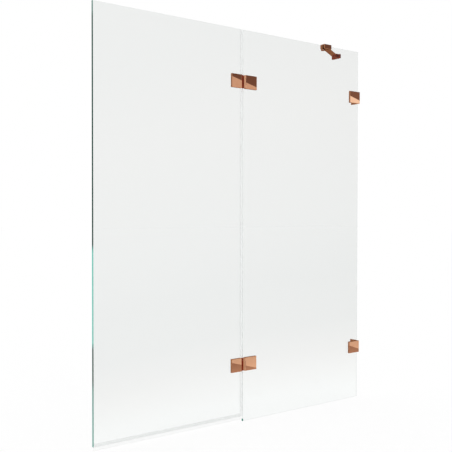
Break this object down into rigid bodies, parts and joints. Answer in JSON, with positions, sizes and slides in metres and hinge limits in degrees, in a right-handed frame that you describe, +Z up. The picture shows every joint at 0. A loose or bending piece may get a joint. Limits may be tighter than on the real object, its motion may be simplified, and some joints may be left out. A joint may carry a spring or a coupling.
{
  "type": "bath screen",
  "caption": "Frameless glass bath screen: a fixed panel held to the wall by clamps and a brace, and a swing panel hung on it by copper-plated barrel hinges.",
  "frame": {"origin": "where the wall plane, the middle plane of the fixed glass and the bath rim meet", "axes": "+X into the wall (the glass runs towards -X), +Y towards the brace side, away from the hinge barrels, +Z up"},
  "size_m": [1.2, 0.1583, 1.409],
  "materials": {
    "glass": "clear toughened float glass with polished edges",
    "copper_plate": "polished brass with rose-copper plating",
    "steel": "plain stainless steel",
    "clear_vinyl": "clear extruded vinyl",
    "gasket": "black rubber gasket",
    "nylon": "natural nylon"
  },
  "bodies": {
    "fixed_side": {"brace_clamp_pin": "copper_plate", "brace_glass_clamp": "copper_plate", "brace_grub_screw": "steel", "brace_liner": "gasket", "fixed_glass": "glass", "lower_barrel_caps": "copper_plate", "lower_clamp_gaskets": "gasket", "lower_clamp_plate": "copper_plate", "lower_clamp_screws": "steel", "lower_clamp_sleeves": "nylon", "lower_fixed_back_plate": "copper_plate", "lower_fixed_gaskets": "gasket", "lower_fixed_leaf": "copper_plate", "lower_fixed_screws": "steel", "lower_fixed_sleeves": "nylon", "lower_hinge_pin": "steel", "lower_wall_bracket": "copper_plate", "upper_barrel_caps": "copper_plate", "upper_clamp_gaskets": "gasket", "upper_clamp_plate": "copper_plate", "upper_clamp_screws": "steel", "upper_clamp_sleeves": "nylon", "upper_fixed_back_plate": "copper_plate", "upper_fixed_gaskets": "gasket", "upper_fixed_leaf": "copper_plate", "upper_fixed_screws": "steel", "upper_fixed_sleeves": "nylon", "upper_hinge_pin": "steel", "upper_wall_bracket": "copper_plate"},
    "swing_panel": {"bottom_seal": "clear_vinyl", "joint_seal": "clear_vinyl", "lower_hinge_bushes": "nylon", "lower_swing_back_plate": "copper_plate", "lower_swing_gaskets": "gasket", "lower_swing_leaf": "copper_plate", "lower_swing_screws": "steel", "lower_swing_sleeves": "nylon", "swing_glass": "glass", "upper_hinge_bushes": "nylon", "upper_swing_back_plate": "copper_plate", "upper_swing_gaskets": "gasket", "upper_swing_leaf": "copper_plate", "upper_swing_screws": "steel", "upper_swing_sleeves": "nylon"},
    "brace_arm": {"brace_bar": "copper_plate"},
    "brace_foot": {"brace_wall_foot": "copper_plate", "brace_wall_base": "steel", "brace_foot_screw": "steel", "brace_foot_pin": "copper_plate"}
  },
  "joints": [
    {"name": "panel_swing", "type": "hinge", "parent": "fixed_side", "child": "swing_panel", "pos_m": [-0.6021, -0.0095, 0.71], "axis": [0, 0, 1], "range_deg": [0, 150]},
    {"name": "brace_bar_swivel", "type": "hinge", "parent": "fixed_side", "child": "brace_arm", "pos_m": [-0.1904, 0.0133, 1.4006], "axis": [0, 0, 1], "range_deg": [-10, 30]},
    {"name": "brace_foot_swivel", "type": "hinge", "parent": "brace_arm", "child": "brace_foot", "pos_m": [-0.029, 0.1081, 1.4006], "axis": [0, 0, 1], "range_deg": [-30, 30]}
  ]
}
